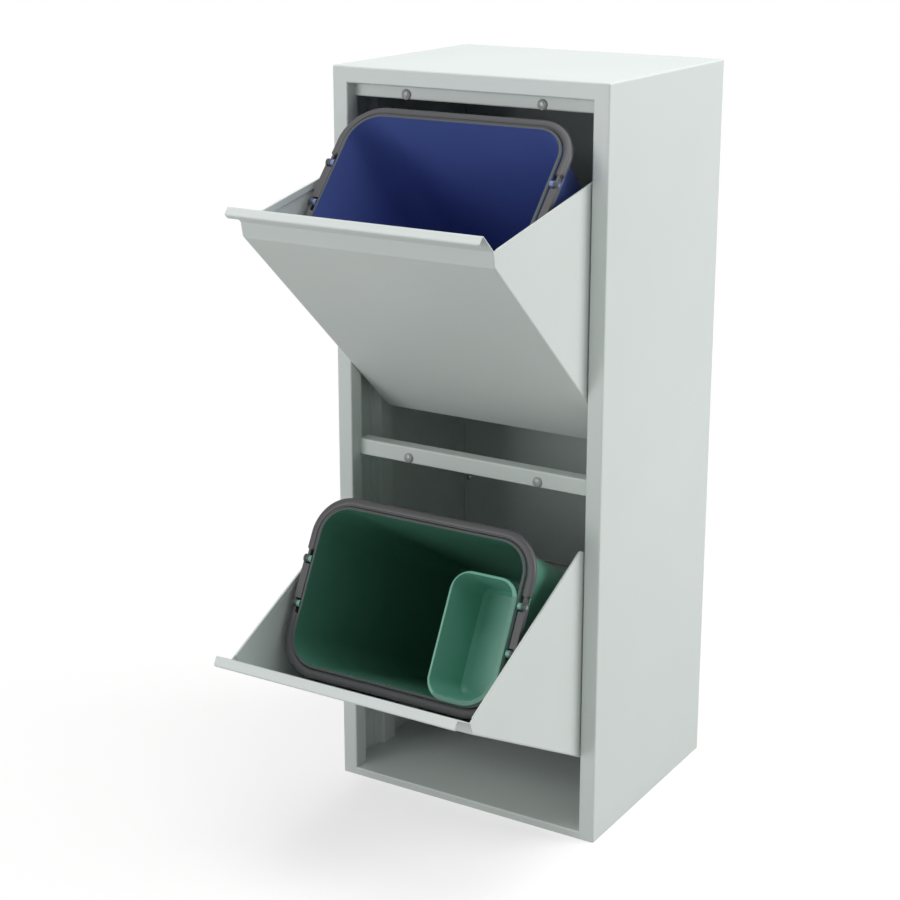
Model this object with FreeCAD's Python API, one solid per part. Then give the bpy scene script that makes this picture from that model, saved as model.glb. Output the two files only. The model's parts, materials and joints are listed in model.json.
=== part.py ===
import FreeCAD, Part

import math
import os

from FreeCAD import Vector

# Double recycling bin: a folded sheet steel cabinet with two tilting chutes, one above the other.
# Each chute carries a lift-out plastic pail with two bails.
#
# Everything is drawn in millimetres in a working frame: x across, y backwards from the front face,
# z up from the floor. The saved parts are shifted back to put the origin under the cabinet's middle.
# A chute and what it carries are drawn closed, with z measured from the chute's pivot, and then
# swung open about that pivot.

# Cabinet
CABINET_WIDTH = 320.0
CABINET_DEPTH = 266.0
CABINET_HEIGHT = 800.0
SHEET = 1.0  # thickness of every folded steel sheet
BEND = 0.8  # inside radius of the folds
CABINET_EDGE = 2.0  # outside radius of the cabinet's long edges
STILE_WIDTH = 17.7  # front of the upright frame members
STILE_RETURN = 20.0  # how far they fold back into the cabinet
STILE_FLANGE = 9.0  # how far the fold's rear edge turns outwards
TOP_STRIP = 17.5  # height of the frame member above the upper chute
STRIP_RETURN = 12.0
FLOOR_HEIGHT = 8.5
REAR_FLANGE = 13.0  # frame that the back panel lies against
LAP = 6.0  # overlap of welded sheets

# Back panel and its rivets
BACK_GAP = 0.5
RIVETS_PER_SIDE = 4
RIVET_END_MARGIN = 40.0
RIVET_RADIUS = 1.6
RIVET_HEAD_RADIUS = 3.2
RIVET_HEAD_HEIGHT = 1.1
RIVET_CROWN_RADIUS = 2.0  # flat on top of the head

# Upright channels on the side walls
CHANNEL_FRONT = 68.0
CHANNEL_WIDTH = 25.0
CHANNEL_PROUD = 9.0
CHANNEL_FLANGE = 7.0
CHANNEL_SLOPE = 1.5

# Cross rails and their bumpers
RAIL_SETBACK = 15.0
RAIL_DEPTH = 15.0
TOP_RAIL_HEIGHT = 24.0
TOP_RAIL_SHOWS = 14.5  # below the top strip
MID_RAIL_HEIGHT = 18.0
MID_RAIL_GAP = 1.5  # below the upper chute
BUMPER_RADIUS = 5.5
BUMPER_SPREAD = 79.0
BUMPER_DROP = 6.0  # below the top of the closed chute
BUMPER_STEM_RADIUS = 2.0
BUMPER_BARB_RADIUS = 2.6
BUMPER_BARB_LENGTH = 2.5
BUMPER_GAP = 0.3  # to the closed chute
BUMPER_SHOULDER_RADIUS = 4.6
BUMPER_SHOULDER_RISE = 2.0
BUMPER_CROWN_RADIUS = 2.6

# Chutes
SIDE_GAP = 1.3
FRONT_RECESS = 1.0
BOTTOM_GAP = 2.0
MID_GAP = 7.5
TOP_GAP = 3.5
PIVOT_BACK = 10.0  # behind the front face
PIVOT_RISE = 89.5  # above the chute's bottom
GROOVE_DEPTH = 9.5
JOGGLE_RISE = 13.0
GROOVE_WALL = 26.0
LIP_RETURN = 5.0
BOTTOM_FOLD = 30.0
CHEEK_REAR_RISE = 209.5  # rear top corner of the cheek above the chute's bottom
CHEEK_CORNER = 7.0
HEM_WIDTH = 7.0  # safe edge along the cheek's sloping top
PANEL_EDGE = 2.0  # outside radius of the folds between front and cheeks
UPPER_OPEN = 47.5  # degrees
LOWER_OPEN = 62.0
STOP_ANGLE = 62.0

# Shelf under the pail
SHELF_FLANGE = 12.0
TAB_WIDTH = 20.0
TAB_HEIGHT = 8.0
TAB_SPREAD = 60.0
TAB_GAP = 1.0  # to the pail's foot

# Hinge pins and stop studs
PIN_RADIUS = 3.0
PIN_RUNNING_GAP = 0.05
PIN_HEAD_RADIUS = 6.0
PIN_HEAD_HEIGHT = 2.0
PIN_CROWN_RADIUS = 4.4
PIN_TAIL = 2.0  # beyond the stile return
WASHER_RADIUS = 6.5
WASHER_GAP = 0.1
CLIP_RADIUS = 5.0
CLIP_THICKNESS = 1.0
CLIP_GAP = 0.3
STUD_RADIUS = 4.0
STUD_LENGTH = 7.5
STUD_SHANK_RADIUS = 2.5
STUD_HEAD_HEIGHT = 1.4
STUD_CROWN_RADIUS = 2.8
STUD_RISE = 60.0  # above the pivot when closed
STOP_GAP = 0.3

# Pails
PAIL_HEADROOM = 98.5  # pail's height below the chute's
RIM_SIDE_ROOM = 17.0  # rim to the chute's outside
RIM_FRONT_ROOM = 20.0
RIM_REAR_ROOM = 10.0
RIM_CHAMFER = 0.8
RIM_CORNER = 34.0
RIM_STEP = 2.0  # bead beyond the wall below it
BEAD_HEIGHT = 7.8
LEDGE_WIDTH = 7.5
LEDGE_THICKNESS = 2.2
PAIL_LEAN = 14.5  # how far each wall leans out from the foot to the bead
FOOT_CHAMFER = 3.5
PAIL_WALL = 2.0
RIM_FLARE = 1.0  # how much further the bore opens at the rim's top
PAIL_FLOOR = 2.5
FOOT_RECESS = 1.2
FOOT_RING = 9.0

# Bails, their ears and the links between them
BAIL_PIN_SPREAD = 24.0  # from the middle of the pail
BAIL_PIN_DROP = 2.9  # below the rim's top
BAIL_PIN_RADIUS = 2.0
BAIL_PIN_GAP = 0.1
BAIL_PLAY = 0.7  # around the bead
BAIL_LIFT = 0.4  # above the ledge
BAIL_WIDTH = 9.0
BAIL_THICKNESS = 6.5
BAIL_CHAMFER = 1.2
BAIL_SWING_GAP = 6.14  # between the rear bail's path and the top rail
EYE_RADIUS = 4.4
EYE_THICKNESS = 2.6
EYE_GAP = 0.25
NECK_LENGTH = 9.0
EAR_WIDTH = 7.0
EAR_THICKNESS = 4.0
EAR_RISE = 1.0  # above the rim's top
LINK_STRAP = 2.2
LINK_ROOM = 5.5  # from the pin to the link's thick part
LINK_ROUNDING = 1.6

# Tray in the green pail
TRAY_WIDTH = 76.5
TRAY_LENGTH = 132.0
TRAY_DEPTH = 60.0
TRAY_WALL = 1.6
TRAY_RIM_WIDTH = 3.5  # on the two sides that hang on the pail
TRAY_EDGE_WIDTH = 1.0  # on the two free sides
TRAY_RIM_CHAMFER = 0.6
TRAY_RIM_PLAY = 1.5  # inside the bead's outer edge
TRAY_CORNER_PLAY = 3.0  # by which the near corner is rounder than the bead's, clear of the bail
TRAY_LEAN = 7.0
TRAY_CORNER = 22.0
TRAY_FOOT_CHAMFER = 4.0

# Sizes that follow from those above
half_width = CABINET_WIDTH / 2
opening_half = half_width - STILE_WIDTH
opening_top = CABINET_HEIGHT - TOP_STRIP
chute_half = opening_half - SIDE_GAP
chute_height = (opening_top - FLOOR_HEIGHT - BOTTOM_GAP - MID_GAP - TOP_GAP) / 2
chute_bottom = -PIVOT_RISE
chute_top = chute_bottom + chute_height
lower_pivot = FLOOR_HEIGHT + BOTTOM_GAP + PIVOT_RISE
upper_pivot = lower_pivot + chute_height + MID_GAP
front_skin = FRONT_RECESS
groove_skin = FRONT_RECESS + GROOVE_DEPTH

pail_foot = chute_bottom + 2 * SHEET
rim_top = pail_foot + chute_height - PAIL_HEADROOM
rim_half = chute_half - RIM_SIDE_ROOM
rim_front = FRONT_RECESS + SHEET + RIM_FRONT_ROOM
bead_foot = rim_top - BEAD_HEIGHT
ledge_foot = bead_foot - LEDGE_THICKNESS
bail_pin_height = rim_top - BAIL_PIN_DROP
bail_foot = bead_foot + BAIL_LIFT
bail_top = bail_foot + BAIL_THICKNESS

# The open pail's rear bail passes under the top rail, and that sets how deep pail and chute are
top_rail_foot = opening_top - TOP_RAIL_SHOWS
bail_swing = top_rail_foot - upper_pivot - BAIL_SWING_GAP
bail_rear = PIVOT_BACK + math.sqrt(bail_swing**2 - bail_top**2)
rim_rear = bail_rear - BAIL_WIDTH - BAIL_PLAY
chute_rear = rim_rear + RIM_REAR_ROOM
pail_middle = (rim_front + rim_rear) / 2
rim_reach = (rim_rear - rim_front) / 2

wall_corner = RIM_CORNER - RIM_STEP
foot_half = rim_half - RIM_STEP - PAIL_LEAN
foot_reach = rim_reach - RIM_STEP - PAIL_LEAN
foot_corner = wall_corner - PAIL_LEAN

eye_inner = rim_half + EAR_THICKNESS + EYE_GAP
strap_inner = eye_inner + EYE_THICKNESS + EYE_GAP
strap_outer = strap_inner + LINK_STRAP

# Chute name, pivot height, opening angle and pail name
BAYS = (
    ("upper", upper_pivot, UPPER_OPEN, "blue"),
    ("lower", lower_pivot, LOWER_OPEN, "green"),
)


# Tools for sheet metal and mouldings


def box(x, y, z):
    """Block between two x, two y and two z values."""
    size = [pair[1] - pair[0] for pair in (x, y, z)]
    return Part.makeBox(*size, Vector(x[0], y[0], z[0]))


def rod(radius, x, y, z):
    """Round bar along x between two x values."""
    return Part.makeCylinder(radius, x[1] - x[0], Vector(x[0], y, z), Vector(1, 0, 0))


def fused(first, *others):
    """One solid from solids that meet, without leftover seams."""
    return first.fuse(list(others)).removeSplitter().Solids[0]


def mirrored(shape):
    """The same shape on the other side of the cabinet's middle plane."""
    return shape.mirror(Vector(0, 0, 0), Vector(1, 0, 0))


def both_sides(shape):
    return [shape, mirrored(shape)]


def rounded_edges(points, radii):
    """Straight edges through the points, with an arc at each inner point."""
    edges = []
    start = points[0]
    for before, corner, after, radius in zip(points, points[1:], points[2:], radii):
        back = (before - corner).normalize()
        ahead = (after - corner).normalize()
        half_angle = back.getAngle(ahead) / 2
        middle = (back + ahead).normalize()
        centre = corner + middle * (radius / math.sin(half_angle))
        reach = radius / math.tan(half_angle)
        arc_start = corner + back * reach
        arc_end = corner + ahead * reach
        edges.append(Part.makeLine(start, arc_start))
        edges.append(Part.Arc(arc_start, centre - middle * radius, arc_end).toShape())
        start = arc_end
    edges.append(Part.makeLine(start, points[-1]))
    return edges


def folded_sheet(points, axis, length):
    """Folded sheet with one skin through the points, drawn out along the axis.

    Seen with the axis towards the eye, the sheet lies on the left of the path through the points.
    """
    ways = [(b - a).normalize() for a, b in zip(points, points[1:])]
    lefts = [axis.cross(way) for way in ways]
    turns = [one.cross(two).dot(axis) for one, two in zip(ways, ways[1:])]
    near_radii = [BEND + SHEET if turn > 0 else BEND for turn in turns]
    far_radii = [BEND if turn > 0 else BEND + SHEET for turn in turns]
    far_points = [points[0] + lefts[0] * SHEET]
    for corner, one, two in zip(points[1:], lefts, lefts[1:]):
        far_points.append(corner + (one + two) * (SHEET / (1 + one.dot(two))))
    far_points.append(points[-1] + lefts[-1] * SHEET)
    outline = rounded_edges(points, near_radii)
    outline.append(Part.makeLine(points[-1], far_points[-1]))
    outline += rounded_edges(far_points[::-1], far_radii[::-1])
    outline.append(Part.makeLine(far_points[0], points[0]))
    face = Part.Face(Part.Wire(Part.__sortEdges__(outline)))
    return face.extrude(axis * length)


def across(points, half_length):
    """Folded sheet across the cabinet, from (y, z) points."""
    path = [Vector(-half_length, y, z) for y, z in points]
    return folded_sheet(path, Vector(1, 0, 0), 2 * half_length)


def upright(points, bottom, top):
    """Upright folded sheet, from (x, y) points."""
    path = [Vector(x, y, bottom) for x, y in points]
    return folded_sheet(path, Vector(0, 0, 1), top - bottom)


def rounded_rectangle(half_x, y, radius, height, middle_x=0.0):
    """Level wire with one corner radius, or one each from the front right corner round to the front left."""
    left, right = middle_x - half_x, middle_x + half_x
    corners = [(right, y[0]), (right, y[1]), (left, y[1]), (left, y[0])]
    centre = ((left + right) / 2, y[0])
    points = [Vector(px, py, height) for px, py in [centre] + corners + [centre]]
    radii = radius if isinstance(radius, list) else [radius] * 4
    return Part.Wire(rounded_edges(points, radii))


def level_prism(half_x, y, radius, z, middle_x=0.0):
    """Upright block with rounded corners."""
    wire = rounded_rectangle(half_x, y, radius, z[0], middle_x)
    return Part.Face(wire).extrude(Vector(0, 0, z[1] - z[0]))


def around(middle, reach):
    return (middle - reach, middle + reach)


def filleted(shape, radius, chosen):
    """Shape with the edges that the test picks rounded."""
    return shape.makeFillet(radius, [edge for edge in shape.Edges if chosen(edge)])


def chamfered(shape, size, chosen):
    """Shape with the edges that the test picks bevelled."""
    return shape.makeChamfer(size, [edge for edge in shape.Edges if chosen(edge)])


def turned(profile, base, direction):
    """Round part from (radius, distance along its axis) points."""
    points = [Vector(radius, 0, along) for radius, along in profile]
    solid = Part.Face(Part.makePolygon(points + points[:1])).revolve(Vector(0, 0, 0), Vector(0, 0, 1), 360)
    solid.Placement = FreeCAD.Placement(base, FreeCAD.Rotation(Vector(0, 0, 1), direction))
    return solid


def leaning_side(middle, foot, lean, z, place):
    """Upright face from the middle out to one leaning side."""
    top = foot + math.copysign(lean, foot - middle)
    points = [place(middle, z[0]), place(foot, z[0]), place(top, z[1]), place(middle, z[1])]
    return Part.Face(Part.makePolygon(points + points[:1]))


def tapered_block(x, y, corners, lean, z):
    """Block whose flat sides and round corners all lean out by the same amount.

    The foot's corner radii run from the front right corner round to the front left.
    """
    middle_x, middle_y = sum(x) / 2, sum(y) / 2
    front_right, rear_right, rear_left, front_left = corners
    pieces = []
    for foot, near, far in ((x[1], front_right, rear_right), (x[0], front_left, rear_left)):
        start, end = y[0] + near, y[1] - far
        side = leaning_side(middle_x, foot, lean, z, lambda out, up: Vector(out, start, up))
        pieces.append(side.extrude(Vector(0, end - start, 0)))
    for foot, near, far in ((y[0], front_left, front_right), (y[1], rear_left, rear_right)):
        start, end = x[0] + near, x[1] - far
        side = leaning_side(middle_y, foot, lean, z, lambda out, up: Vector(start, out, up))
        pieces.append(side.extrude(Vector(end - start, 0, 0)))
    centres = (
        (x[1] - front_right, y[0] + front_right),
        (x[1] - rear_right, y[1] - rear_right),
        (x[0] + rear_left, y[1] - rear_left),
        (x[0] + front_left, y[0] + front_left),
    )
    for (centre_x, centre_y), radius in zip(centres, corners):
        place = Vector(centre_x, centre_y, z[0])
        pieces.append(Part.makeCone(radius, radius + lean, z[1] - z[0], place))
    return fused(*pieces)


def runs_along(edge, axis):
    """Whether an edge is straight and parallel to an axis, given as 0, 1 or 2."""
    spans = (edge.BoundBox.XLength, edge.BoundBox.YLength, edge.BoundBox.ZLength)
    others = [span for index, span in enumerate(spans) if index != axis]
    return spans[axis] > 1.0 and max(others) < 1e-6


# Cabinet


def cabinet_shell():
    """Sides and top in one sheet, with the front frame, its returns and the rear flanges."""
    outside = box((-half_width, half_width), (0, CABINET_DEPTH), (0, CABINET_HEIGHT))
    outside = filleted(
        outside,
        CABINET_EDGE,
        lambda edge: runs_along(edge, 2) or edge.BoundBox.ZMin > CABINET_HEIGHT - 1,
    )
    inner_half = half_width - SHEET
    inside = box((-inner_half, inner_half), (SHEET, CABINET_DEPTH - SHEET), (-1, CABINET_HEIGHT - SHEET))
    window_half = opening_half + LAP
    front_window = box((-window_half, window_half), (-1, 2 * SHEET), (-1, opening_top + LAP))
    rear_half = half_width - REAR_FLANGE
    rear_window = box(
        (-rear_half, rear_half),
        (CABINET_DEPTH - 2 * SHEET, CABINET_DEPTH + 1),
        (-1, CABINET_HEIGHT - REAR_FLANGE),
    )
    sheet = outside.cut([inside, front_window, rear_window])
    stile = upright(
        [
            (opening_half + STILE_FLANGE, STILE_RETURN),
            (opening_half, STILE_RETURN),
            (opening_half, 0),
            (half_width - CABINET_EDGE, 0),
        ],
        FLOOR_HEIGHT,
        CABINET_HEIGHT - SHEET,
    )
    stile_foot = box((opening_half, half_width - CABINET_EDGE), (0, SHEET), (0, FLOOR_HEIGHT))
    strip = across(
        [(0, CABINET_HEIGHT - CABINET_EDGE), (0, opening_top), (STRIP_RETURN, opening_top)],
        opening_half + 2 * SHEET,
    )
    shell = fused(sheet, strip, *both_sides(stile), *both_sides(stile_foot))
    pin_holes = [
        rod(PIN_RADIUS + PIN_RUNNING_GAP, around(0, half_width - CABINET_EDGE), PIVOT_BACK, pivot)
        for name, pivot, angle, colour in BAYS
    ]
    return shell.cut(pin_holes + rivet_shanks())


def floor_pan():
    """Raised floor whose folded edges reach down to the ground and close the front frame."""
    inner_half = half_width - SHEET
    block = box((-inner_half, inner_half), (SHEET, CABINET_DEPTH - SHEET), (0, FLOOR_HEIGHT))
    hollow_half = inner_half - SHEET
    hollow = box(
        (-hollow_half, hollow_half),
        (2 * SHEET, CABINET_DEPTH - 2 * SHEET),
        (-1, FLOOR_HEIGHT - SHEET),
    )
    front_edge = box((-opening_half, opening_half), (0, SHEET), (0, FLOOR_HEIGHT))
    rear_half = half_width - REAR_FLANGE
    rear_edge = box(
        (-rear_half, rear_half),
        (CABINET_DEPTH - SHEET, CABINET_DEPTH),
        (0, FLOOR_HEIGHT),
    )
    pan = fused(block.cut(hollow), front_edge, rear_edge)
    return filleted(
        pan,
        BEND + SHEET / 2,
        lambda edge: runs_along(edge, 0) and edge.BoundBox.YMax < SHEET / 2 and edge.BoundBox.ZMin > 1,
    )


def back_panel():
    """Flat sheet inside the rear flanges."""
    panel_half = half_width - SHEET - BACK_GAP
    rear = CABINET_DEPTH - SHEET
    panel = box(
        (-panel_half, panel_half),
        (rear - SHEET, rear),
        (FLOOR_HEIGHT, CABINET_HEIGHT - SHEET - BACK_GAP),
    )
    return panel.cut(rivet_shanks())


def rivet_places():
    """x and z of the rivets in the side flanges of the back."""
    x = half_width - REAR_FLANGE / 2
    low = RIVET_END_MARGIN
    high = CABINET_HEIGHT - RIVET_END_MARGIN
    step = (high - low) / (RIVETS_PER_SIDE - 1)
    return [(side * x, low + step * i) for side in (-1, 1) for i in range(RIVETS_PER_SIDE)]


def rivet_shanks():
    start = CABINET_DEPTH - 2 * SHEET
    return [
        Part.makeCylinder(RIVET_RADIUS, 2 * SHEET, Vector(x, start, z), Vector(0, 1, 0))
        for x, z in rivet_places()
    ]


def back_panel_rivets():
    """One rivet at each place, with a bevelled head on both sides of the sheets."""
    inner = -2 * SHEET
    profile = [
        (0, RIVET_HEAD_HEIGHT),
        (RIVET_CROWN_RADIUS, RIVET_HEAD_HEIGHT),
        (RIVET_HEAD_RADIUS, 0),
        (RIVET_RADIUS, 0),
        (RIVET_RADIUS, inner),
        (RIVET_HEAD_RADIUS, inner),
        (RIVET_CROWN_RADIUS, inner - RIVET_HEAD_HEIGHT),
        (0, inner - RIVET_HEAD_HEIGHT),
    ]
    return Part.makeCompound(
        [turned(profile, Vector(x, CABINET_DEPTH, z), Vector(0, 1, 0)) for x, z in rivet_places()]
    )


def side_channel():
    """Upright hat section on the right side wall."""
    wall = half_width - SHEET
    proud = wall - CHANNEL_PROUD + SHEET
    front, rear = CHANNEL_FRONT, CHANNEL_FRONT + CHANNEL_WIDTH
    return upright(
        [
            (wall, front - CHANNEL_FLANGE),
            (wall, front),
            (proud, front + CHANNEL_SLOPE),
            (proud, rear - CHANNEL_SLOPE),
            (wall, rear),
            (wall, rear + CHANNEL_FLANGE),
        ],
        FLOOR_HEIGHT,
        CABINET_HEIGHT - SHEET,
    )


def bumper_height(pivot):
    return pivot + chute_top - BUMPER_DROP


def rail(bottom, height, bumper_z):
    """Cross rail of channel section between the stile returns, with holes for two bumpers."""
    rear = RAIL_SETBACK + RAIL_DEPTH
    top = bottom + height
    channel = across(
        [(rear, top), (RAIL_SETBACK, top), (RAIL_SETBACK, bottom), (rear, bottom)],
        opening_half,
    )
    end_tab = box(
        (opening_half - SHEET, opening_half),
        (RAIL_SETBACK + SHEET / 2, rear),
        (bottom + SHEET / 2, top - SHEET / 2),
    )
    holes = [
        Part.makeCylinder(
            BUMPER_STEM_RADIUS, 2 * SHEET, Vector(x, RAIL_SETBACK - SHEET / 2, bumper_z), Vector(0, 1, 0)
        )
        for x in (-BUMPER_SPREAD, BUMPER_SPREAD)
    ]
    return fused(channel, *both_sides(end_tab)).cut(holes)


def bumper(x, z):
    """Rounded buffer with a stem and a barb that snap into a hole of the rail."""
    height = RAIL_SETBACK - groove_skin - SHEET - BUMPER_GAP
    profile = [
        (0, -height),
        (BUMPER_CROWN_RADIUS, -height),
        (BUMPER_SHOULDER_RADIUS, -BUMPER_SHOULDER_RISE),
        (BUMPER_RADIUS, 0),
        (BUMPER_STEM_RADIUS, 0),
        (BUMPER_STEM_RADIUS, SHEET),
        (BUMPER_BARB_RADIUS, SHEET),
        (BUMPER_STEM_RADIUS / 2, SHEET + BUMPER_BARB_LENGTH),
        (0, SHEET + BUMPER_BARB_LENGTH),
    ]
    return turned(profile, Vector(x, RAIL_SETBACK, z), Vector(0, 1, 0))


# Chutes, drawn closed, with z from the pivot


def cheek_outline():
    """Wire of a cheek in the plane x = 0, from the front bottom corner."""
    points = [
        (front_skin, chute_bottom),
        (chute_rear, chute_bottom),
        (chute_rear, chute_bottom + CHEEK_REAR_RISE),
        (groove_skin, chute_top - GROOVE_WALL),
        (front_skin, chute_top - GROOVE_WALL - JOGGLE_RISE),
        (front_skin, chute_bottom),
    ]
    vectors = [Vector(0, y, z) for y, z in points]
    start = (vectors[0] + vectors[-2]) * 0.5
    path = [start] + vectors[:-1] + [start]
    tiny = SHEET / 10
    return Part.Wire(rounded_edges(path, [tiny, tiny, CHEEK_CORNER, tiny, tiny]))


def cheek():
    """Right cheek with its safe edge folded flat inside along the sloping top."""
    face = Part.Face(cheek_outline())
    plate = face.extrude(Vector(SHEET, 0, 0))
    plate.translate(Vector(chute_half - SHEET, 0, 0))
    fold = face.extrude(Vector(SHEET, 0, 0))
    slope_start = Vector(0, groove_skin, chute_top - GROOVE_WALL)
    slope_end = Vector(0, chute_rear, chute_bottom + CHEEK_REAR_RISE)
    along = (slope_end - slope_start).normalize()
    inwards = along.cross(Vector(1, 0, 0)) * -1
    band_points = [
        slope_start + along * HEM_WIDTH - inwards * HEM_WIDTH,
        slope_end - inwards * HEM_WIDTH,
        slope_end + inwards * HEM_WIDTH,
        slope_start + along * HEM_WIDTH + inwards * HEM_WIDTH,
    ]
    band = Part.Face(Part.makePolygon(band_points + band_points[:1])).extrude(Vector(SHEET, 0, 0))
    fold = fold.common(band)
    fold.translate(Vector(chute_half - 2 * SHEET, 0, 0))
    return fused(plate, fold)


def chute():
    """Front panel, finger groove, lip and bottom fold in one section, with a cheek at each end."""
    groove_foot = chute_top - GROOVE_WALL
    section = across(
        [
            (front_skin + SHEET, chute_top - LIP_RETURN),
            (front_skin + SHEET, chute_top - SHEET),
            (groove_skin, chute_top - SHEET),
            (groove_skin, groove_foot),
            (front_skin, groove_foot - JOGGLE_RISE),
            (front_skin, chute_bottom),
            (front_skin + BOTTOM_FOLD, chute_bottom),
        ],
        chute_half,
    )
    tub = fused(section, *both_sides(cheek()))
    behind = chute_rear + 2 * PANEL_EDGE
    rounding = level_prism(chute_half, (front_skin, behind), PANEL_EDGE, (chute_bottom, chute_top))
    tub = tub.common(rounding).Solids[0]
    width = (-chute_half - 1, chute_half + 1)
    holes = [rod(PIN_RADIUS, width, PIVOT_BACK, 0), rod(STUD_SHANK_RADIUS, width, *stud_place())]
    return tub.cut(holes)


def chute_shelf():
    """Folded tray across the bottom of the chute, with four lanced tabs round the pail's foot."""
    edge = chute_half - SHEET
    front = front_skin + SHEET + BEND
    bottom = chute_bottom + SHEET
    outside = box((-edge, edge), (front, chute_rear), (bottom, bottom + SHELF_FLANGE))
    hollow = box(
        (-edge + SHEET, edge - SHEET),
        (front + SHEET, chute_rear - SHEET),
        (bottom + SHEET, bottom + SHELF_FLANGE + 1),
    )
    shelf = outside.cut(hollow)
    tabs = []
    slots = []
    for x in (-TAB_SPREAD, TAB_SPREAD):
        for side in (-1, 1):
            near = pail_middle + side * (foot_reach + TAB_GAP)
            far = near + side * SHEET
            slot_end = far + side * TAB_HEIGHT
            across_x = around(x, TAB_WIDTH / 2)
            tabs.append(box(across_x, sorted((near, far)), (bottom, bottom + SHEET + TAB_HEIGHT)))
            slots.append(box(across_x, sorted((far, slot_end)), (bottom - 1, bottom + SHEET + 1)))
    return fused(shelf.cut(slots), *tabs)


def stud_place():
    """y and z of the stop stud: it meets the rear of the stile return at the stop angle."""
    angle = math.radians(STOP_ANGLE)
    behind_pivot = STILE_RETURN - PIVOT_BACK + STUD_RADIUS + STOP_GAP
    back = (behind_pivot + STUD_RISE * math.sin(angle)) / math.cos(angle)
    return PIVOT_BACK + back, STUD_RISE


def stop_stud():
    """Right-hand stud: drum outside the cheek, shank through it and bevelled head inside."""
    profile = [
        (0, -STUD_HEAD_HEIGHT),
        (STUD_CROWN_RADIUS, -STUD_HEAD_HEIGHT),
        (STUD_RADIUS, 0),
        (STUD_SHANK_RADIUS, 0),
        (STUD_SHANK_RADIUS, SHEET),
        (STUD_RADIUS, SHEET),
        (STUD_RADIUS, SHEET + STUD_LENGTH),
        (0, SHEET + STUD_LENGTH),
    ]
    return turned(profile, Vector(chute_half - SHEET, *stud_place()), Vector(1, 0, 0))


def hinge_pin():
    """Right-hand pin: bevelled head inside the cheek, shank through cheek, washer and stile return."""
    inside = chute_half - SHEET
    length = opening_half + SHEET + PIN_TAIL - inside
    profile = [
        (0, -PIN_HEAD_HEIGHT),
        (PIN_CROWN_RADIUS, -PIN_HEAD_HEIGHT),
        (PIN_HEAD_RADIUS, 0),
        (PIN_RADIUS, 0),
        (PIN_RADIUS, length),
        (0, length),
    ]
    return turned(profile, Vector(inside, PIVOT_BACK, 0), Vector(1, 0, 0))


def ring(outer_radius, bore_radius, x):
    """Flat ring round the pivot axis between two x values."""
    return rod(outer_radius, x, PIVOT_BACK, 0).cut(rod(bore_radius, x, PIVOT_BACK, 0))


def pivot_washer():
    x = (chute_half, opening_half - WASHER_GAP)
    return ring(WASHER_RADIUS, PIN_RADIUS + PIN_RUNNING_GAP, x)


def pin_clip():
    start = opening_half + SHEET + CLIP_GAP
    return ring(CLIP_RADIUS, PIN_RADIUS, (start, start + CLIP_THICKNESS))


# Pails, drawn in the closed chute's frame


def body_block(inset, lean, z):
    """Tapered block that stands inside the pail's outer wall by an amount at its foot."""
    reach = around(pail_middle, foot_reach - inset)
    return tapered_block(around(0, foot_half - inset), reach, [foot_corner - inset] * 4, lean, z)


def rim_prism(growth, z):
    """Upright block that follows the bead's outside, grown by an amount."""
    reach = around(pail_middle, rim_reach + growth)
    return level_prism(rim_half + growth, reach, RIM_CORNER + growth, z)


def pail():
    """Moulded pail with a tapered body, a bead, a ledge under the bails, and four ears."""
    body = chamfered(
        body_block(0, PAIL_LEAN, (pail_foot, bead_foot)),
        FOOT_CHAMFER,
        lambda edge: edge.BoundBox.ZMax < pail_foot + RIM_CHAMFER,
    )
    bead = chamfered(
        rim_prism(0, (ledge_foot, rim_top)),
        RIM_CHAMFER,
        lambda edge: edge.BoundBox.ZMin > rim_top - RIM_CHAMFER,
    )
    ledge = rim_prism(LEDGE_WIDTH, (ledge_foot, bead_foot))
    floor = pail_foot + PAIL_FLOOR
    hollow = chamfered(
        body_block(PAIL_WALL, PAIL_LEAN + RIM_FLARE, (floor, rim_top)),
        FOOT_CHAMFER,
        lambda edge: edge.BoundBox.ZMax < floor + RIM_CHAMFER,
    )
    recess = level_prism(
        foot_half - FOOT_RING,
        around(pail_middle, foot_reach - FOOT_RING),
        foot_corner - FOOT_RING,
        (pail_foot - 1, pail_foot + FOOT_RECESS),
    )
    ears = [part for side in (-1, 1) for part in both_sides(ear(side))]
    return fused(body, ledge, bead, *ears).cut([hollow, recess]).Solids[0]


def ear(side):
    """Right-hand ear and its pin, behind (1) or before (-1) the pail's middle."""
    y = pail_middle + side * BAIL_PIN_SPREAD
    x = (rim_half, rim_half + EAR_THICKNESS)
    cap_centre = rim_top + EAR_RISE - EAR_WIDTH / 2
    post = box(x, around(y, EAR_WIDTH / 2), (bead_foot, cap_centre))
    cap = rod(EAR_WIDTH / 2, x, y, cap_centre)
    pin = rod(BAIL_PIN_RADIUS, (x[1], strap_outer), y, bail_pin_height)
    return fused(post, cap, pin)


def eye(x, y):
    """Round end about a bail pin between two x values."""
    return rod(EYE_RADIUS, x, y, bail_pin_height)


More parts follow.
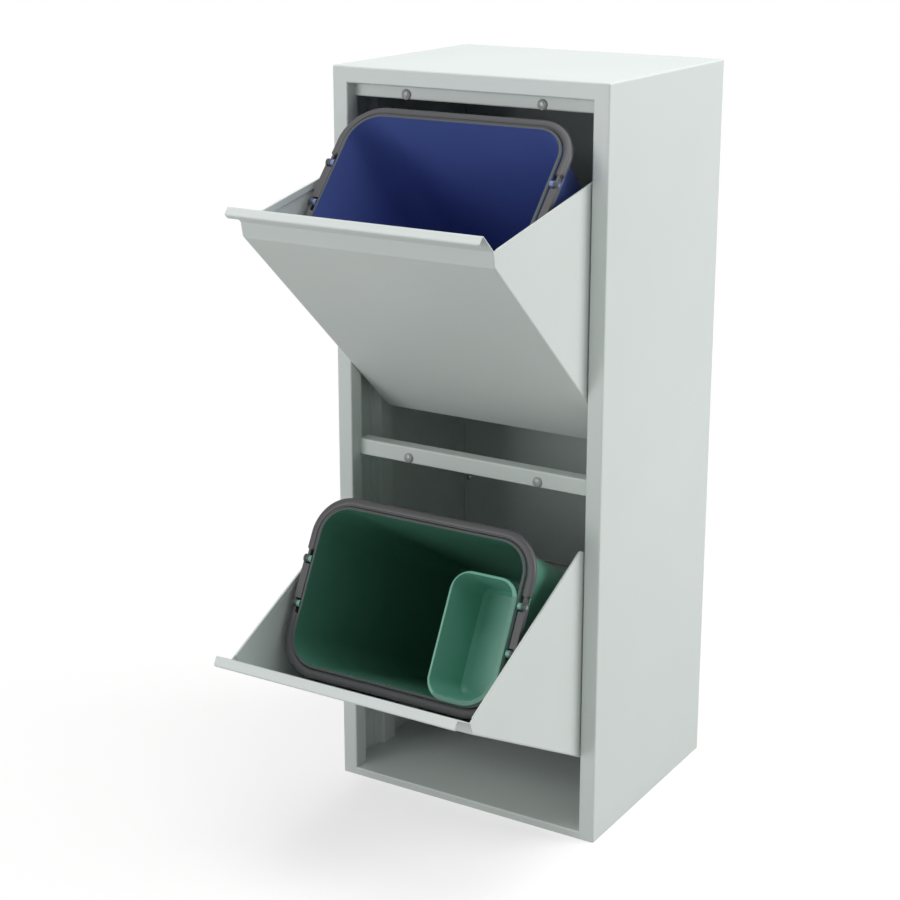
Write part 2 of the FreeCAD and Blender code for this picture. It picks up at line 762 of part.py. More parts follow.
def rear_bail():
    """Loop round the rear half of the rim, necked in to an eye on each rear pin."""
    pin_y = pail_middle + BAIL_PIN_SPREAD
    z = (bail_foot, bail_top)
    loop = rim_prism(BAIL_PLAY + BAIL_WIDTH, z).cut(rim_prism(BAIL_PLAY, z))
    far = chute_rear + BAIL_WIDTH
    loop = loop.common(box((-half_width, half_width), (pin_y + NECK_LENGTH, far), z))
    loop = chamfered(
        loop,
        BAIL_CHAMFER,
        lambda edge: edge.BoundBox.ZLength < 1e-6
        and not (runs_along(edge, 0) and edge.BoundBox.YMax < pin_y + NECK_LENGTH + 1e-3),
    )
    plate_x = (eye_inner, eye_inner + EYE_THICKNESS)
    neck = box(plate_x, (pin_y, pin_y + 2 * NECK_LENGTH), z)
    end = fused(neck, eye(plate_x, pin_y))
    bail = fused(loop, *both_sides(end))
    bore = BAIL_PIN_RADIUS + BAIL_PIN_GAP
    return bail.cut(rod(bore, (-half_width, half_width), pin_y, bail_pin_height))


def front_bail():
    """The rear bail's twin round the front half of the rim."""
    return rear_bail().mirror(Vector(0, pail_middle, 0), Vector(0, 1, 0))


def hinge_link():
    """Right-hand link: a thick bar between the ears, with a strap that holds the bails on their pins."""
    pins = around(pail_middle, BAIL_PIN_SPREAD)
    z = (bail_foot, bail_top)
    bar_x = (rim_half + BAIL_PLAY, strap_outer)
    bar = box(bar_x, (pins[0] + LINK_ROOM, pins[1] - LINK_ROOM), z)
    bar = filleted(
        bar,
        LINK_ROUNDING,
        lambda edge: runs_along(edge, 1) and edge.BoundBox.ZMin > z[0] + 1,
    )
    strap_x = (strap_inner, strap_outer)
    strap = box(strap_x, pins, z)
    link = fused(bar, strap, *[eye(strap_x, y) for y in pins])
    bores = [rod(BAIL_PIN_RADIUS, strap_x, y, bail_pin_height) for y in pins]
    return link.cut(bores)


def pail_tray():
    """Shallow tray whose rim lies on the pail's bead at the front and on the right."""
    top = rim_top + TRAY_WALL
    floor = rim_top - TRAY_DEPTH
    right = rim_half - TRAY_RIM_PLAY
    left = right - TRAY_WIDTH
    front = rim_front + TRAY_RIM_PLAY
    rear = front + TRAY_LENGTH
    near_corner = RIM_CORNER - TRAY_RIM_PLAY + TRAY_CORNER_PLAY
    half = TRAY_WIDTH / 2
    rim_corners = [near_corner, TRAY_CORNER, TRAY_CORNER, TRAY_CORNER]
    rim = level_prism(half, (front, rear), rim_corners, (rim_top, top), right - half)
    rim = chamfered(rim, TRAY_RIM_CHAMFER, lambda edge: edge.BoundBox.ZMin > top - TRAY_RIM_CHAMFER)
    hung = TRAY_RIM_WIDTH + TRAY_LEAN
    free = TRAY_EDGE_WIDTH + TRAY_LEAN
    foot_x = (left + free, right - hung)
    foot_y = (front + hung, rear - free)
    foot_corners = [near_corner - hung] + [TRAY_CORNER - hung] * 3
    body = tapered_block(foot_x, foot_y, foot_corners, TRAY_LEAN, (floor, rim_top))
    foot = floor + TRAY_RIM_CHAMFER
    body = chamfered(body, TRAY_FOOT_CHAMFER, lambda edge: edge.BoundBox.ZMax < foot)
    hollow = tapered_block(
        (foot_x[0] + TRAY_WALL, foot_x[1] - TRAY_WALL),
        (foot_y[0] + TRAY_WALL, foot_y[1] - TRAY_WALL),
        [radius - TRAY_WALL for radius in foot_corners],
        TRAY_LEAN,
        (floor + TRAY_WALL, top),
    )
    inner_foot = foot + TRAY_WALL
    hollow = chamfered(hollow, TRAY_FOOT_CHAMFER, lambda edge: edge.BoundBox.ZMax < inner_foot)
    return fused(body, rim).cut(hollow).Solids[0]


# Assembly


def in_chute(shape, pivot, angle):
    """A shape drawn in the closed chute's frame, put in its bay and swung open."""
    placed = shape.copy()
    placed.translate(Vector(0, 0, pivot))
    placed.rotate(Vector(0, PIVOT_BACK, pivot), Vector(1, 0, 0), angle)
    return placed


def save(name, shape):
    """Write one part, shifted to put the origin under the cabinet's middle."""
    placed = shape.copy()
    placed.translate(Vector(0, -CABINET_DEPTH / 2, 0))
    placed.exportStep(os.path.join("parts", name + ".step"))


def cabinet_parts():
    parts = {
        "cabinet_shell": cabinet_shell(),
        "floor_pan": floor_pan(),
        "back_panel": back_panel(),
        "back_panel_rivets": back_panel_rivets(),
        "side_channel_right": side_channel(),
        "side_channel_left": mirrored(side_channel()),
    }
    top_bumpers = bumper_height(upper_pivot)
    mid_bumpers = bumper_height(lower_pivot)
    mid_rail_top = upper_pivot + chute_bottom - MID_RAIL_GAP
    parts["top_rail"] = rail(top_rail_foot, TOP_RAIL_HEIGHT, top_bumpers)
    parts["mid_rail"] = rail(mid_rail_top - MID_RAIL_HEIGHT, MID_RAIL_HEIGHT, mid_bumpers)
    for level, z in (("top", top_bumpers), ("mid", mid_bumpers)):
        parts["bumper_" + level + "_left"] = bumper(-BUMPER_SPREAD, z)
        parts["bumper_" + level + "_right"] = bumper(BUMPER_SPREAD, z)
    return parts


def chute_parts():
    """One chute's pieces in the closed chute's frame."""
    return {
        "chute": chute(),
        "chute_shelf": chute_shelf(),
        "hinge_pin_right": hinge_pin(),
        "hinge_pin_left": mirrored(hinge_pin()),
        "pivot_washers": Part.makeCompound(both_sides(pivot_washer())),
        "pin_clips": Part.makeCompound(both_sides(pin_clip())),
        "stop_studs": Part.makeCompound(both_sides(stop_stud())),
    }


def pail_parts():
    """One pail's pieces in the closed chute's frame."""
    return {
        "pail": pail(),
        "rear_bail": rear_bail(),
        "front_bail": front_bail(),
        "hinge_link_right": hinge_link(),
        "hinge_link_left": mirrored(hinge_link()),
    }


def build():
    os.makedirs("parts", exist_ok=True)
    for name, shape in cabinet_parts().items():
        save(name, shape)
    chute_pieces = chute_parts()
    pail_pieces = pail_parts()
    for bay, pivot, angle, colour in BAYS:
        for name, shape in chute_pieces.items():
            save(bay + "_" + name, in_chute(shape, pivot, angle))
        for name, shape in pail_pieces.items():
            save(colour + "_" + name, in_chute(shape, pivot, angle))
    save("green_pail_tray", in_chute(pail_tray(), lower_pivot, LOWER_OPEN))


build()
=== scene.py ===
import json
import math

import bmesh
import bpy
from mathutils import Matrix, Vector


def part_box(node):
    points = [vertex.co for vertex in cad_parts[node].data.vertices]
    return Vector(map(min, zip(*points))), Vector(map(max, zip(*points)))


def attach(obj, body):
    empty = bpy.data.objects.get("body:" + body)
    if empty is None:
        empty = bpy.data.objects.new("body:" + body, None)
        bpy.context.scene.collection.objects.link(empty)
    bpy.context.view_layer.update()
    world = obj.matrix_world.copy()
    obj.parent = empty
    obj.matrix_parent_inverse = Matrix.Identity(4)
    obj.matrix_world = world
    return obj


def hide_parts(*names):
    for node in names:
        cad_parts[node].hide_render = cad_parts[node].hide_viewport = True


# Finish and light for the double recycling bin, in metres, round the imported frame.

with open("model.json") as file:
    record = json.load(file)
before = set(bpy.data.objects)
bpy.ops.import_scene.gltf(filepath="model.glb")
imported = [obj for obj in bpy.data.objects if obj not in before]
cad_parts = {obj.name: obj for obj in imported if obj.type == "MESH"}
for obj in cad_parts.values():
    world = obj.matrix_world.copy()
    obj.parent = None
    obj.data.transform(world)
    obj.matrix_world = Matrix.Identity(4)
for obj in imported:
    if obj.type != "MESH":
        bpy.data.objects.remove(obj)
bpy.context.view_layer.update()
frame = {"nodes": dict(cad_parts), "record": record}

# How far each chute stands open, in degrees
UPPER_LEAN = 47.5
LOWER_LEAN = 62.0

# Materials

# A colour mix has several sockets of the same name, so these go by number
MIX_FACTOR = 0
MIX_FIRST = 6
MIX_SECOND = 7
MIX_RESULT = 2

EDGE_RADIUS = 0.0007  # that the eye reads on a painted edge
LACQUER_IOR = 1.5
PLASTIC_IOR = 1.49
MARK_WIDTH = 2.5  # of the drag marks on a moulding, in millimetres
MARK_LENGTH = 90.0


def linear(colour):
    """Linear colour from an sRGB hex value."""
    parts = [int(colour[i : i + 2], 16) / 255 for i in (1, 3, 5)]
    curved = [p / 12.92 if p <= 0.04045 else ((p + 0.055) / 1.055) ** 2.4 for p in parts]
    return (*curved, 1.0)


def per_metre(millimetres):
    """Texture scale for a pattern of that size."""
    return 1000 / millimetres


def add_node(tree, kind, settings=None, sockets=None):
    """Add a node, set its settings, and fill its sockets with values or with links."""
    made = tree.nodes.new(kind)
    for name, value in (settings or {}).items():
        setattr(made, name, value)
    for name, value in (sockets or {}).items():
        if isinstance(value, bpy.types.NodeSocket):
            tree.links.new(value, made.inputs[name])
        else:
            made.inputs[name].default_value = value
    return made


def start_material(name):
    """Empty material with its tree."""
    material = bpy.data.materials.new(name)
    material.use_nodes = True
    tree = material.node_tree
    tree.nodes.clear()
    return material, tree


def object_place(tree):
    """Place on the object, in metres."""
    return add_node(tree, "ShaderNodeTexCoord").outputs["Object"]


def noise(tree, place, scale, detail, roughness=0.5):
    """Cloudy pattern between 0 and 1."""
    sockets = {"Vector": place, "Scale": scale, "Detail": detail, "Roughness": roughness}
    return add_node(tree, "ShaderNodeTexNoise", sockets=sockets).outputs["Fac"]


def between(tree, value, low, high):
    """Number that runs from low to high as the value runs from 0 to 1."""
    sockets = {"Value": value, "To Min": low, "To Max": high}
    return add_node(tree, "ShaderNodeMapRange", sockets=sockets).outputs["Result"]


def blend(tree, value, dark, light):
    """Colour that runs between two sRGB hex values as the value runs from 0 to 1."""
    sockets = {MIX_FACTOR: value, MIX_FIRST: linear(dark), MIX_SECOND: linear(light)}
    return add_node(tree, "ShaderNodeMix", {"data_type": "RGBA"}, sockets).outputs[MIX_RESULT]


def relief(tree, height, strength, depth, over=None):
    """Normal that follows a pattern's height, over the bare surface or over another normal."""
    sockets = {"Strength": strength, "Distance": depth, "Height": height}
    if over is not None:
        sockets["Normal"] = over
    return add_node(tree, "ShaderNodeBump", sockets=sockets).outputs["Normal"]


def close_material(material, tree, sockets):
    """Give a material its surface, with the given sockets."""
    shader = add_node(tree, "ShaderNodeBsdfPrincipled", sockets=sockets)
    add_node(tree, "ShaderNodeOutputMaterial", sockets={"Surface": shader.outputs["BSDF"]})
    return material


def painted_steel():
    """Polyester powder coat, baked on folded sheet steel.

    It gives the eye a flat light grey with a soft sheen, a faint orange peel, and a bright line
    where the coat runs round an edge.
    """
    material, tree = start_material("powder_coated_steel")
    place = object_place(tree)
    clouds = noise(tree, place, scale=per_metre(140), detail=2.0)
    # Peel is about 1 mm across on the real coat, drawn at 2 mm to show
    peel = noise(tree, place, scale=per_metre(2), detail=2.0, roughness=0.55)
    edge = add_node(tree, "ShaderNodeBevel", {"samples": 4}, {"Radius": EDGE_RADIUS})
    sockets = {
        "Base Color": blend(tree, clouds, dark="#d5dcd9", light="#dbe2df"),
        "Roughness": between(tree, peel, low=0.36, high=0.48),
        "IOR": LACQUER_IOR,
        "Normal": relief(tree, peel, strength=0.35, depth=0.00012, over=edge.outputs["Normal"]),
    }
    return close_material(material, tree, sockets)


def moulded_plastic(name, dark, light, roughness, lean, grain=1.2):
    """Injection-moulded polypropylene or nylon.

    It gives the eye an even colour that deepens in soft clouds, a waxy sheen, a fine spark grain,
    and faint drag marks along the way that the piece left its mould. The lean of that way is in
    degrees, and the grain in millimetres.
    """
    material, tree = start_material(name)
    place = object_place(tree)
    drawn = add_node(
        tree,
        "ShaderNodeMapping",
        sockets={
            "Vector": place,
            "Rotation": (math.radians(-lean), 0, 0),
            "Scale": (per_metre(MARK_WIDTH), per_metre(MARK_WIDTH), per_metre(MARK_LENGTH)),
        },
    )
    clouds = noise(tree, place, scale=per_metre(70), detail=3.0)
    marks = noise(tree, drawn.outputs["Vector"], scale=1.0, detail=2.0)
    # Spark grain is about 0.2 mm on the real moulding, drawn coarser to show
    sparks = noise(tree, place, scale=per_metre(grain), detail=1.0)
    drag = relief(tree, marks, strength=0.05, depth=0.0001)
    sockets = {
        "Base Color": blend(tree, clouds, dark, light),
        "Roughness": between(tree, marks, low=roughness - 0.03, high=roughness + 0.05),
        "IOR": PLASTIC_IOR,
        "Normal": relief(tree, sparks, strength=0.16, depth=0.00008, over=drag),
    }
    return close_material(material, tree, sockets)


def clear_buffer():
    """Clear soft polyurethane.

    The painted rail shows pale through its crown, and dark round its edge.
    """
    material, tree = start_material("clear_polyurethane_buffer")
    ripple = noise(tree, object_place(tree), scale=per_metre(5), detail=1.0)
    sockets = {
        "Base Color": linear("#f0f4f1"),
        "Roughness": between(tree, ripple, low=0.08, high=0.2),
        "IOR": LACQUER_IOR,
        "Transmission Weight": 0.55,
    }
    return close_material(material, tree, sockets)


def zinc_plate():
    """Bright zinc plate on turned and headed steel: a silvery metal with cloudy crystals."""
    material, tree = start_material("zinc_plated_steel")
    crystals = noise(tree, object_place(tree), scale=per_metre(1.5), detail=4.0)
    sockets = {
        "Base Color": blend(tree, crystals, dark="#b4b8bb", light="#d4d7d8"),
        "Metallic": 1.0,
        "Roughness": between(tree, crystals, low=0.24, high=0.42),
    }
    return close_material(material, tree, sockets)


steel = painted_steel()
zinc = zinc_plate()
buffer = clear_buffer()
blue = moulded_plastic("polypropylene_blue_pail", "#5264a4", "#5c6eb0", 0.36, UPPER_LEAN)
green = moulded_plastic("polypropylene_green_pail", "#4f8572", "#58907d", 0.36, LOWER_LEAN)
tray_green = moulded_plastic("polypropylene_green_tray", "#67a793", "#71b19e", 0.3, LOWER_LEAN)
# Lighter copies of the pail colours, painted highlights for the ears and the tray's free edges
blue_painted_highlight = moulded_plastic("polypropylene_blue_painted_highlight", "#6b7cb6", "#7788c0", 0.3, UPPER_LEAN)
green_painted_highlight = moulded_plastic("polypropylene_green_painted_highlight", "#66a592", "#72b09d", 0.3, LOWER_LEAN)
# Dark grey, painted shade for the top of each pail's bead, which lies in the bails' shadow
bead_painted_shade = moulded_plastic("polypropylene_bead_painted_shade", "#3d4444", "#474e4e", 0.46, UPPER_LEAN)
charcoal = moulded_plastic(
    "polypropylene_charcoal_bail", "#444446", "#505053", 0.4, UPPER_LEAN, grain=0.9
)
nylon = moulded_plastic("natural_nylon_washer", "#dddbd2", "#e5e3dc", 0.38, lean=0.0)

# Words in the names of CAD nodes, and their finishes. The first word that fits decides.
FINISHES = (
    ("bumper", buffer),
    ("washers", nylon),
    ("rivets", zinc),
    ("pin", zinc),
    ("studs", zinc),
    ("bail", charcoal),
    ("link", charcoal),
    ("green_pail_tray", tray_green),
    ("green_pail", green),
    ("blue_pail", blue),
)


def finish_of(name):
    """Finish of a CAD node. A name that holds none of the words is painted steel."""
    for word, finish in FINISHES:
        if word in name:
            return finish
    return steel


def finish_node(name, material):
    """Give a CAD node one material over its whole surface."""
    mesh = frame["nodes"][name].data
    mesh.materials.clear()
    mesh.materials.append(material)
    for face in mesh.polygons:
        face.material_index = 0


for name in sorted(frame["nodes"]):
    finish_node(name, finish_of(name))


# A chute's own millimetres, in which it is closed, with x to the right, y back from the cabinet's
# front and z up from the chute's pivot. The sizes of the pails and the bails are in them.

MILLIMETRE = 0.001
PIVOT_BACK = 10.0
PAIL_MIDDLE = 108.0

pivots = {
    joint["name"]: Vector(joint["pos_m"])
    for joint in frame["record"]["behaviour"]["joints"]
    if joint["type"] == "hinge"
}


def chute_space(joint, lean):
    """Matrix from a closed chute's millimetres to the frame, with the chute swung open."""
    return (
        Matrix.Translation(pivots[joint])
        @ Matrix.Rotation(math.radians(lean), 4, "X")
        @ Matrix.Scale(MILLIMETRE, 4)
        @ Matrix.Translation((0, -PIVOT_BACK, 0))
    )


upper_chute_space = chute_space("upper_chute_tilt", UPPER_LEAN)
lower_chute_space = chute_space("lower_chute_tilt", LOWER_LEAN)


# Painted shade and painted highlights on the pails and the tray, as second materials by where the
# middle of a face lies

BEAD_TOP = 193.8
BEAD_SIDE = 124.05  # the bead ends here, and the ears begin
EAR_FOOT = 188.0
EAR_SPREAD = 24.0  # from the pail's middle to an ear's
EAR_HALF = 4.0
TRAY_RIM_FOOT = 194.6
TRAY_FREE_SIDE = 56.0  # left of this, the tray's rim hangs free
TRAY_FREE_REAR = 140.0  # and behind this


def paint_faces(node, material, space, belongs):
    """Give one more material to the faces of a CAD node whose middle belongs.

    The middle is in a chute's millimetres.
    """
    mesh = frame["nodes"][node].data
    mesh.materials.append(material)
    slot = len(mesh.materials) - 1
    back = space.inverted()
    for face in mesh.polygons:
        if belongs(back @ face.center):
            face.material_index = slot


def on_bead(middle):
    """Top of the pail's bead, which takes a dark grey as painted shade from the bails."""
    return middle.z > BEAD_TOP and abs(middle.x) < BEAD_SIDE


def on_ear(middle):
    """The two ears on each side, and the pins through the bails' eyes, which take a lighter colour
    as a painted highlight.
    """
    if abs(middle.x) <= BEAD_SIDE or middle.z <= EAR_FOOT:
        return False
    return EAR_SPREAD - EAR_HALF < abs(middle.y - PAIL_MIDDLE) < EAR_SPREAD + EAR_HALF


def on_tray_rim(middle):
    """The tray's rim, which lies in the shade of the bail, and takes the pail's darker green as
    painted shade.
    """
    return middle.z > TRAY_RIM_FOOT


def on_free_edge(middle):
    """The tray's thin edge on the two sides that hang free, which takes a lighter green as a
    painted highlight.
    """
    free = middle.x < TRAY_FREE_SIDE or middle.y > TRAY_FREE_REAR
    return on_tray_rim(middle) and free


# Painted shade: the top of each pail's bead takes the dark grey
paint_faces("blue_pail", bead_painted_shade, upper_chute_space, on_bead)
# Painted highlights: the ears, and the tray's free edges, take a lighter colour
paint_faces("blue_pail", blue_painted_highlight, upper_chute_space, on_ear)
paint_faces("green_pail", bead_painted_shade, lower_chute_space, on_bead)
paint_faces("green_pail", green_painted_highlight, lower_chute_space, on_ear)
# Painted shade: the tray's rim takes the pail's darker green
paint_faces("green_pail_tray", green, lower_chute_space, on_tray_rim)
paint_faces("green_pail_tray", green_painted_highlight, lower_chute_space, on_free_edge)


# Pieces that stand for CAD nodes

CREASE = 35  # degrees, past which an edge stays sharp


def add_object(name, data):
    """Object in the scene that shows a mesh, a lamp or a camera."""
    made = bpy.data.objects.new(name, data)
    bpy.context.scene.collection.objects.link(made)
    return made


def new_piece(name, shape, material, body, space):
    """Object from a bmesh, moved from its own space to the frame and riding on a body."""
    bmesh.ops.recalc_face_normals(shape, faces=shape.faces)
    mesh = bpy.data.meshes.new(name)
    shape.to_mesh(mesh)
    shape.free()
    mesh.transform(space)
    mesh.shade_smooth()
    mesh.set_sharp_from_angle(angle=math.radians(CREASE))
    mesh.materials.append(material)
    piece = add_object(name, mesh)
    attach(piece, body)
    return piece


def add_rings(shape, rings):
    """Corners for rings of points."""
    return [[shape.verts.new(point) for point in ring] for ring in rings]


def join_rings(shape, low, high):
    """Faces between two rings of as many corners."""
    for i, corner in enumerate(low):
        after = (i + 1) % len(low)
        shape.faces.new((corner, low[after], high[after], high[i]))


def skin(shape, rings):
    """Close a skin over rings of points, each with the same count, and cap both ends."""
    made = add_rings(shape, rings)
    for low, high in zip(made, made[1:]):
        join_rings(shape, low, high)
    shape.faces.new(made[0][::-1])
    shape.faces.new(made[-1])


# Bails, in a chute's millimetres. Each is drawn as the rear one, and a front one is its mirror.

BAIL_FOOT = 187.1
BAIL_TOP = 193.6
BAIL_HALF = 4.5
BAIL_SIDE = 129.2  # from the middle of the pail to the middle of the grip
BAIL_REAR = 199.2
BAIL_TURN = 39.2
BAIL_STRAIGHT = (60, 30, 0, -30, -60)  # places across the rear
TAPER_START = 140.4  # where the grip leaves its end plate
TAPER_LENGTH = 3.4

# Section of a grip
FOOT_RADIUS = 1.0
FOOT_SHARE = 0.5  # of the half width, at most
OUTER_RADIUS = 2.0
OUTER_SHARE = 0.7
OUTER_DROP = 0.25  # from the crown to the outer rounding
LEDGE_WIDTH = 1.5
LEDGE_SHARE = 0.5
CROWN = ((0.25, 0.04), (-0.1, 0.0))  # share of the half width outwards, and drop
LEDGE_STEP = ((0.5, 0.12), (0.1, 0.3), (0.0, 0.9), (-0.3, 1.1))  # way out of the step, and drop
LEDGE_EDGE = ((0.25, 1.25), (0.0, 1.7))  # way out of the grip's inner side, and drop

# End plate with its eye, on the pail's pin
PIN_BACK = 132.0
PIN_HEIGHT = 191.6
PLATE_HALF = 1.3
PLATE_SHIFT = 0.35  # outwards from the middle of the grip
PLATE_REACH = 10.0  # from the eye's centre to where the grip takes over
PLATE_DROP = 0.2  # under the grip's top
PLATE_BEVEL = 0.3
EYE_RADIUS = 4.4
EYE_BORE = 2.1

QUARTER_STEPS = 4
TAPER_STEPS = 8
TURN_STEPS = 24
EYE_STEPS = 64
NOTHING = 1e-6  # a ray's way along or up that counts as none


def quarter(centre, radius, start):
    """Points on a quarter turn about a centre, from an angle in degrees."""
    steps = range(QUARTER_STEPS + 1)
    turns = [math.radians(start + 90 * step / QUARTER_STEPS) for step in steps]
    return [(centre[0] + radius * math.cos(t), centre[1] + radius * math.sin(t)) for t in turns]


def grip_section(half):
    """Outline across a bail: crowned on top, with a low ledge along its inner edge.

    Each point is the way outwards from the middle of the grip, and the height. A narrow section
    keeps its roundings and its ledge to a share of its half width.
    """
    foot = min(FOOT_RADIUS, half * FOOT_SHARE)
    outer = min(OUTER_RADIUS, half * OUTER_SHARE)
    step = -half + min(LEDGE_WIDTH, half * LEDGE_SHARE)
    return [
        *quarter((-half + foot, BAIL_FOOT + foot), foot, 180),
        *quarter((half - foot, BAIL_FOOT + foot), foot, 270),
        *quarter((half - outer, BAIL_TOP - OUTER_DROP - outer), outer, 0),
        *((half * share, BAIL_TOP - drop) for share, drop in CROWN),
        *((step + way, BAIL_TOP - drop) for way, drop in LEDGE_STEP),
        *((-half + way, BAIL_TOP - drop) for way, drop in LEDGE_EDGE),
    ]


def grip_line():
    """Stations along a rear bail: place, way outwards, and how full the section is."""
    stations = []
    for step in range(TAPER_STEPS + 1):
        part = step / TAPER_STEPS
        place = (BAIL_SIDE, TAPER_START + TAPER_LENGTH * part)
        stations.append((place, (1, 0), part * part * (3 - 2 * part)))
    centre = (BAIL_SIDE - BAIL_TURN, BAIL_REAR - BAIL_TURN)
    for step in range(TURN_STEPS + 1):
        t = math.radians(90 * step / TURN_STEPS)
        out = (math.cos(t), math.sin(t))
        place = (centre[0] + BAIL_TURN * out[0], centre[1] + BAIL_TURN * out[1])
        stations.append((place, out, 1))
    far = [((-place[0], place[1]), (-out[0], out[1]), full) for place, out, full in stations]
    straight = [((x, BAIL_REAR), (0, 1), 1) for x in BAIL_STRAIGHT]
    return stations + straight + far[::-1]


def plate_rays():
    """Rays from the eye's centre, back and up, with the way to the end plate's edge."""
    rays = []
    for step in range(EYE_STEPS):
        t = 2 * math.pi * step / EYE_STEPS
        along, up = math.cos(t), math.sin(t)
        reach = [PLATE_REACH / along] if along > NOTHING else [0]
        if up > NOTHING:
            reach.append((BAIL_TOP - PIN_HEIGHT - PLATE_DROP) / up)
        if up < -NOTHING:
            reach.append((BAIL_FOOT - PIN_HEIGHT) / up)
        rays.append((along, up, max(EYE_RADIUS, min(reach))))
    return rays


def ring_on_pin(x, rays):
    """Ring of points round the pail's pin, at a place across the pail."""
    return [(x, PIN_BACK + along * r, PIN_HEIGHT + up * r) for along, up, r in rays]


def add_eye(shape, side):
    """End plate on one side (1 right, -1 left), with the bore that turns on the pail's pin."""
    edge = plate_rays()
    bevel = [(along, up, reach - PLATE_BEVEL) for along, up, reach in edge]
    bore = [(along, up, EYE_BORE) for along, up, _ in edge]
    layers = (
        (-PLATE_HALF, bevel),
        (-PLATE_HALF + PLATE_BEVEL, edge),
        (PLATE_HALF - PLATE_BEVEL, edge),
        (PLATE_HALF, bevel),
        (PLATE_HALF, bore),
        (-PLATE_HALF, bore),
    )
    middle = BAIL_SIDE + PLATE_SHIFT
    made = add_rings(shape, [ring_on_pin((middle + x) * side, rays) for x, rays in layers])
    for low, high in zip(made, made[1:] + made[:1]):
        join_rings(shape, low, high)


def draw_bail(name, node, space, front):
    """Moulded bail: a crowned grip round half the rim that narrows to an eye at each end."""
    shape = bmesh.new()
    rings = []
    for (x, y), (out_x, out_y), fullness in grip_line():
        half = PLATE_HALF + (BAIL_HALF - PLATE_HALF) * fullness
        shift = PLATE_SHIFT * (1 - fullness)
        ways = [(way + shift, z) for way, z in grip_section(half)]
        rings.append([(x + out_x * way, y + out_y * way, z) for way, z in ways])
    skin(shape, rings)
    add_eye(shape, 1)
    add_eye(shape, -1)
    if front:
        for corner in shape.verts:
            corner.co.y = 2 * PAIL_MIDDLE - corner.co.y
    piece = new_piece(name, shape, charcoal, node, space)
    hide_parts(node)


draw_bail("blue_rear_grip", "blue_rear_bail", upper_chute_space, front=False)
draw_bail("blue_front_grip", "blue_front_bail", upper_chute_space, front=True)
draw_bail("green_rear_grip", "green_rear_bail", lower_chute_space, front=False)
draw_bail("green_front_grip", "green_front_bail", lower_chute_space, front=True)


# Buffers, in metres

STEM_RADIUS = 0.002
BARB_RADIUS = 0.0026
BARB_TIP = 0.0014  # radius of its blunt end
BARB_LENGTH = 0.0025
DOME_FOOT = 0.97  # share of the dome's radius where it meets the rail
DOME_BEVEL = 0.05  # share of its height where it has its full radius
DOME_WALL = 0.22  # share of its height where the wall turns into the crown
DOME_STEPS = 9
BUFFER_STEPS = 48


def draw_buffer(name, node, rail):
    """Buffer pushed into a rail: a barb and a stem behind the sheet, and a full dome before it."""
    low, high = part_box(node)
    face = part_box(rail)[0].y
    x, z = (low.x + high.x) / 2, (low.z + high.z) / 2
    radius, height, tail = (high.x - low.x) / 2, face - low.y, high.y - face
    # Radius, and way out from the rail's face
    profile = [
        (BARB_TIP, -tail),
        (BARB_RADIUS, BARB_LENGTH - tail),
        (STEM_RADIUS, BARB_LENGTH - tail),
        (STEM_RADIUS, 0),
        (radius * DOME_FOOT, 0),
        (radius, height * DOME_BEVEL),
        (radius, height * DOME_WALL),
    ]
    for step in range(1, DOME_STEPS):
        t = math.radians(90 * step / DOME_STEPS)
        rise = DOME_WALL + (1 - DOME_WALL) * math.sin(t)
        profile.append((radius * math.cos(t), height * rise))
    turns = [2 * math.pi * step / BUFFER_STEPS for step in range(BUFFER_STEPS)]
    shape = bmesh.new()
    rings = [
        [(x + r * math.cos(t), face - rise, z + r * math.sin(t)) for t in turns]
        for r, rise in profile
    ]
    skin(shape, rings)
    piece = new_piece(name, shape, buffer, "cabinet", Matrix.Identity(4))
    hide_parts(node)


draw_buffer("top_left_dome", "bumper_top_left", "top_rail")
draw_buffer("top_right_dome", "bumper_top_right", "top_rail")
draw_buffer("mid_left_dome", "bumper_mid_left", "mid_rail")
draw_buffer("mid_right_dome", "bumper_mid_right", "mid_rail")


# Stage

WHITE = (1, 1, 1, 1)
FLOOR_HALF = 30.0
FLOOR_GLOW = 0.56  # that the camera alone sees
FADE_START = 0.3  # metres from the bin's middle, where the floor begins to turn plain white
FADE_END = 0.85
WORLD_LIGHT = 0.3  # that falls on the bin
WORLD_SEEN = 1.0  # straight, mirrored or through a buffer

# Name, place, point that it faces, width in metres, and power in watts
LAMPS = (
    ("overhead_lamp", (0.2, -0.3, 3.0), (0.0, 0.0, 0.4), 2.2, 44),
    ("right_lamp", (2.5, 1.3, 1.4), (0.0, 0.0, 0.5), 1.8, 53),
    ("front_left_lamp", (-1.3, -3.2, 0.9), (0.0, -0.1, 0.5), 1.6, 33),
)

# Camera, placed as the photograph was taken
CAMERA_PLACE = (0.9778, -1.7559, 1.0054)
CAMERA_AZIMUTH = 31.53  # degrees
CAMERA_ELEVATION = 16.07
CAMERA_LENS = 76.1  # mm
CAMERA_SENSOR = 36.0
CAMERA_SHIFT = -0.05


def calculate(tree, operation, first, second):
    """Result of one operation on two numbers."""
    made = add_node(tree, "ShaderNodeMath", {"operation": operation}, {0: first, 1: second})
    return made.outputs["Value"]


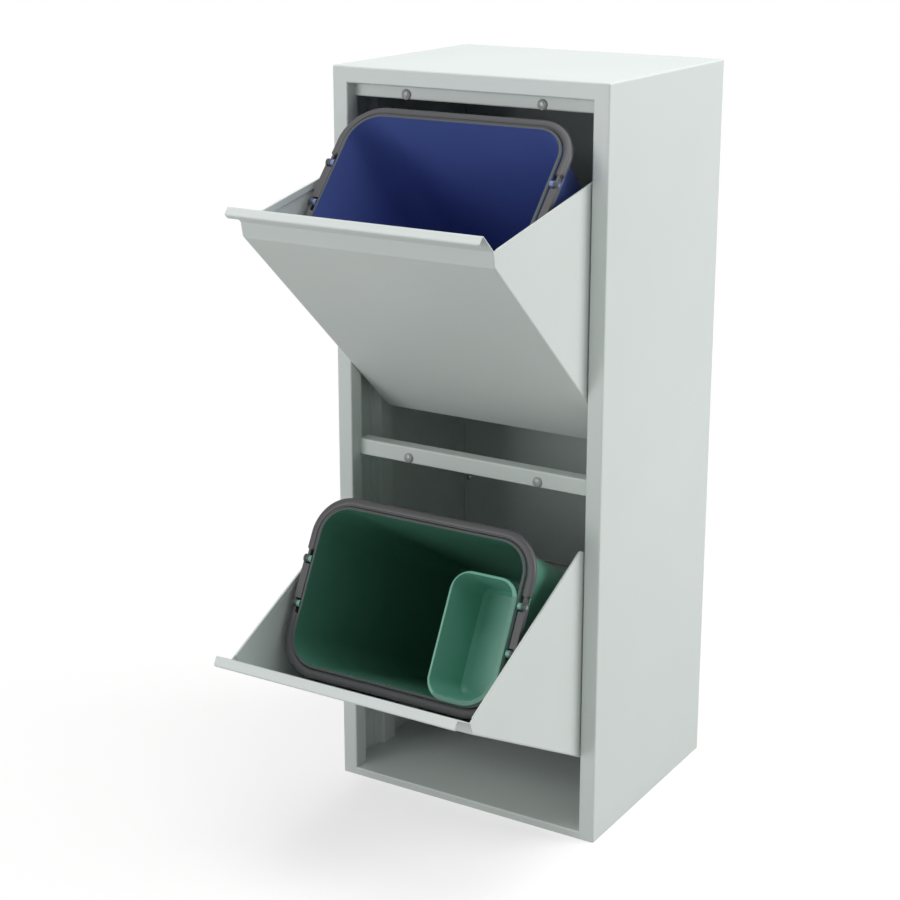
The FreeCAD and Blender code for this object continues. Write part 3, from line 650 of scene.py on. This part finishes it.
def studio_floor():
    """Wide plain floor that looks white to the camera and keeps the bin's shadow."""
    near, far = -FLOOR_HALF, FLOOR_HALF
    corners = [(near, near, 0), (far, near, 0), (far, far, 0), (near, far, 0)]
    mesh = bpy.data.meshes.new("studio_floor")
    mesh.from_pydata(corners, [], [(0, 1, 2, 3)])
    floor = add_object("studio_floor", mesh)
    material, tree = start_material("matt_studio_paper")
    seen = add_node(tree, "ShaderNodeLightPath").outputs["Is Camera Ray"]
    place = object_place(tree)
    away = add_node(tree, "ShaderNodeVectorMath", {"operation": "LENGTH"}, {0: place})
    beyond = add_node(
        tree,
        "ShaderNodeMapRange",
        sockets={"Value": away.outputs["Value"], "From Min": FADE_START, "From Max": FADE_END},
    )
    faded = calculate(tree, "MULTIPLY", seen, beyond.outputs["Result"])
    lift = calculate(tree, "MULTIPLY", seen, FLOOR_GLOW)
    paper = add_node(tree, "ShaderNodeBsdfDiffuse", sockets={"Color": linear("#c2c2c1")})
    glow = add_node(tree, "ShaderNodeEmission", sockets={"Color": WHITE, "Strength": lift})
    close = add_node(
        tree,
        "ShaderNodeAddShader",
        sockets={0: paper.outputs["BSDF"], 1: glow.outputs["Emission"]},
    )
    plain = add_node(tree, "ShaderNodeEmission", sockets={"Color": WHITE, "Strength": 1.0})
    shown = add_node(
        tree,
        "ShaderNodeMixShader",
        sockets={0: faded, 1: close.outputs["Shader"], 2: plain.outputs["Emission"]},
    )
    add_node(tree, "ShaderNodeOutputMaterial", sockets={"Surface": shown.outputs["Shader"]})
    mesh.materials.append(material)


def studio_world():
    """White surroundings for the eye, and a low even light on the bin."""
    world = bpy.data.worlds.new("studio")
    world.use_nodes = True
    tree = world.node_tree
    tree.nodes.clear()
    ray = add_node(tree, "ShaderNodeLightPath").outputs
    seen = calculate(tree, "MAXIMUM", ray["Is Camera Ray"], ray["Is Transmission Ray"])
    mirrored = calculate(tree, "MAXIMUM", seen, ray["Is Glossy Ray"])
    strength = between(tree, mirrored, low=WORLD_LIGHT, high=WORLD_SEEN)
    sky = add_node(tree, "ShaderNodeBackground", sockets={"Color": WHITE, "Strength": strength})
    add_node(tree, "ShaderNodeOutputWorld", sockets={"Surface": sky.outputs["Background"]})
    bpy.context.scene.world = world


def studio_light(name, place, aim, size, power):
    """Soft square lamp that faces a point."""
    lamp = bpy.data.lights.new(name, "AREA")
    lamp.shape = "SQUARE"
    lamp.size = size
    lamp.energy = power
    holder = add_object(name, lamp)
    holder.location = place
    holder.rotation_euler = (Vector(place) - Vector(aim)).to_track_quat("Z", "Y").to_euler()
    holder.visible_camera = False


def photograph_camera():
    """Camera that sees the bin as the photograph does."""
    lens = bpy.data.cameras.new("photograph")
    lens.lens = CAMERA_LENS
    lens.sensor_width = CAMERA_SENSOR
    lens.shift_y = CAMERA_SHIFT
    camera = add_object("photograph", lens)
    turn = Matrix.Rotation(math.radians(CAMERA_AZIMUTH), 4, "Z")
    tilt = Matrix.Rotation(math.radians(90 - CAMERA_ELEVATION), 4, "X")
    camera.matrix_world = Matrix.Translation(CAMERA_PLACE) @ turn @ tilt
    bpy.context.scene.camera = camera


studio_floor()
studio_world()
for lamp in LAMPS:
    studio_light(*lamp)
photograph_camera()
bpy.context.scene.view_settings.view_transform = "Standard"
